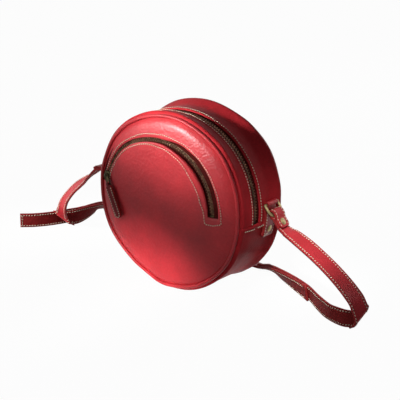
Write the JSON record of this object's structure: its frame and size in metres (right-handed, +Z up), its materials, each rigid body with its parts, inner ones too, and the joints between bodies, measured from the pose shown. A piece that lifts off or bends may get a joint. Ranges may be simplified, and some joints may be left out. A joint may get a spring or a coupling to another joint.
{
  "type": "shoulder bag",
  "caption": "Round leather shoulder bag: a drum standing on its rim, with a zipped top, a crescent zip pocket on its front, ring tabs at the sides and a buckled strap lying round it.",
  "frame": {"origin": "under the middle of the bag, on the surface that it stands on", "axes": "+X to the right as seen from the front, along the strap's loops; +Y to the back, along the drum's own axis; +Z up"},
  "size_m": [0.5187, 0.1988, 0.198],
  "materials": {
    "body_leather": "satin",
    "strap_leather": "satin",
    "piping_leather": "satin",
    "zip_tape": "matte",
    "brass": "brushed",
    "lining": "matte",
    "board": "matte"
  },
  "bodies": {
    "bag": {"front_panel": "body_leather", "front_piping": "piping_leather", "front_zip_strip": "body_leather", "rear_zip_strip": "body_leather", "bottom_gusset": "body_leather", "back_panel": "body_leather", "rear_piping": "piping_leather", "back_stiffener": "board", "main_tape_front": "zip_tape", "main_tape_rear": "zip_tape", "main_teeth_front": "brass", "main_teeth_rear": "brass", "main_zip_stops": "brass", "pocket_tape_outer": "zip_tape", "pocket_tape_inner": "zip_tape", "pocket_teeth_outer": "brass", "pocket_teeth_inner": "brass", "pocket_zip_stops": "brass", "pocket_lip": "body_leather", "pocket_bag": "lining", "front_lining": "lining", "side_lining": "lining", "back_lining": "lining", "right_tab": "body_leather", "left_tab": "body_leather", "tab_rivets": "brass", "right_strap": "strap_leather", "left_strap": "strap_leather", "punched_strap": "strap_leather", "strap_keeper": "strap_leather", "buckle_frame": "brass", "buckle_rivet": "brass"},
    "main_slider": {"main_slider": "brass"},
    "main_pull": {"main_pull": "brass", "main_pull_tab": "strap_leather"},
    "pocket_slider": {"pocket_slider": "brass"},
    "pocket_pull": {"pocket_pull": "brass", "pocket_pull_tab": "strap_leather"},
    "right_ring": {"right_ring": "brass", "right_strap_rivet": "brass"},
    "left_ring": {"left_ring": "brass", "left_strap_rivet": "brass"},
    "buckle_prong": {"buckle_prong": "brass"}
  },
  "joints": [
    {"name": "main_zip_travel", "type": "hinge", "parent": "bag", "child": "main_slider", "pos_m": [0, -0.01, 0.098], "axis": [0, 1, 0], "range_deg": [0, 186]},
    {"name": "main_pull_swing", "type": "hinge", "parent": "main_slider", "child": "main_pull", "pos_m": [-0.10259, -0.01, 0.09233], "axis": [0, 1, 0], "range_deg": [0, 150]},
    {"name": "pocket_zip_travel", "type": "hinge", "parent": "bag", "child": "pocket_slider", "pos_m": [-0.0117, -0.0387, 0.0947], "axis": [0, 1, 0], "range_deg": [0, 156]},
    {"name": "pocket_pull_swing", "type": "hinge", "parent": "pocket_slider", "child": "pocket_pull", "pos_m": [-0.0818, -0.04325, 0.11775], "axis": [-0.9063, 0, -0.4226], "range_deg": [0, 150]},
    {"name": "right_ring_swing", "type": "hinge", "parent": "bag", "child": "right_ring", "pos_m": [0.10313, 0.013, 0.10521], "axis": [0, -1, 0], "range_deg": [0, 100], "deforming": ["right_strap"]},
    {"name": "left_ring_swing", "type": "hinge", "parent": "bag", "child": "left_ring", "pos_m": [-0.10313, 0.013, 0.10521], "axis": [0, 1, 0], "range_deg": [0, 60], "deforming": ["left_strap"]},
    {"name": "buckle_prong_swing", "type": "hinge", "parent": "bag", "child": "buckle_prong", "pos_m": [-0.06, 0.0925, 0.00445], "axis": [-0.1045, -0.9945, 0], "range_deg": [0, 30]}
  ]
}
